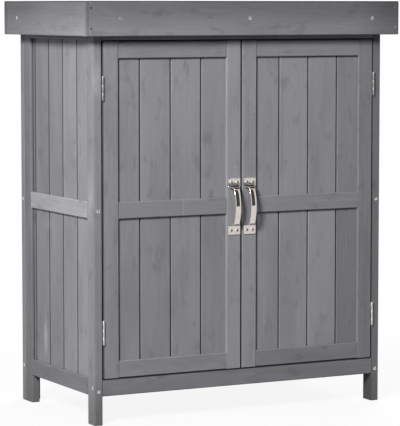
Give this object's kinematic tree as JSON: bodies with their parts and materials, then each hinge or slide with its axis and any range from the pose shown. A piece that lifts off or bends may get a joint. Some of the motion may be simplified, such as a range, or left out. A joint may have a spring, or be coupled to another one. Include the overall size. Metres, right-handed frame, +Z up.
{
  "type": "garden storage cabinet",
  "caption": "Outdoor timber storage cabinet with two hinged boarded doors, bowed pull handles, short legs, a shelf inside and a flat roof with a deep skirt.",
  "frame": {"origin": "on the ground, under the middle of the roof", "axes": "+X to the right seen from the front, -Y out of the doors, +Z up"},
  "size_m": [0.7448, 0.4288, 0.876],
  "materials": {
    "timber": "grey satin stain on planed softwood",
    "boards": "grey satin stain on jointed softwood boards",
    "inner_timber": "grey stain on sawn softwood",
    "felt": "mineral felt",
    "hinge_steel": "zinc plated",
    "screw_steel": "zinc plated",
    "handle_metal": "polished plating",
    "catch_plastic": "black moulded"
  },
  "bodies": {
    "cabinet": {"left_front_stile": "timber", "left_rear_stile": "timber", "left_top_rail": "timber", "left_mid_rail": "timber", "left_bottom_rail": "timber", "right_front_stile": "timber", "right_rear_stile": "timber", "right_top_rail": "timber", "right_mid_rail": "timber", "right_bottom_rail": "timber", "back_left_stile": "timber", "back_right_stile": "timber", "back_top_rail": "timber", "back_mid_rail": "timber", "back_bottom_rail": "timber", "front_top_rail": "timber", "front_bottom_rail": "timber", "roof_front_fascia": "timber", "roof_back_fascia": "timber", "roof_left_fascia": "timber", "roof_right_fascia": "timber", "left_boards": "boards", "right_boards": "boards", "back_boards": "boards", "floor_boards": "inner_timber", "floor_bearers": "inner_timber", "shelf_boards": "inner_timber", "shelf_cleats": "inner_timber", "door_stop": "inner_timber", "roof_frame_rails": "inner_timber", "roof_bearers": "inner_timber", "roof_deck_boards": "inner_timber", "roof_felt": "felt", "fascia_screws": "screw_steel", "frame_screws": "screw_steel", "hinge_post_screws": "screw_steel", "hinge_post_leaves": "hinge_steel", "hinge_pins": "hinge_steel", "magnetic_catches": "catch_plastic"},
    "left_door": {"left_door_hinge_stile": "timber", "left_door_meeting_stile": "timber", "left_door_top_rail": "timber", "left_door_mid_rail": "timber", "left_door_bottom_rail": "timber", "left_door_boards": "boards", "left_door_hinge_leaves": "hinge_steel", "left_door_handle": "handle_metal", "left_door_screws": "screw_steel", "left_door_strike": "hinge_steel"},
    "right_door": {"right_door_hinge_stile": "timber", "right_door_meeting_stile": "timber", "right_door_top_rail": "timber", "right_door_mid_rail": "timber", "right_door_bottom_rail": "timber", "right_door_boards": "boards", "right_door_hinge_leaves": "hinge_steel", "right_door_handle": "handle_metal", "right_door_screws": "screw_steel", "right_door_strike": "hinge_steel"}
  },
  "joints": [
    {"name": "left_door_hinge", "type": "hinge", "parent": "cabinet", "child": "left_door", "pos_m": [-0.32495, -0.1878, 0.44535], "axis": [0, 0, -1], "range_deg": [0, 180]},
    {"name": "right_door_hinge", "type": "hinge", "parent": "cabinet", "child": "right_door", "pos_m": [0.32495, -0.1878, 0.44535], "axis": [0, 0, 1], "range_deg": [0, 180]}
  ]
}
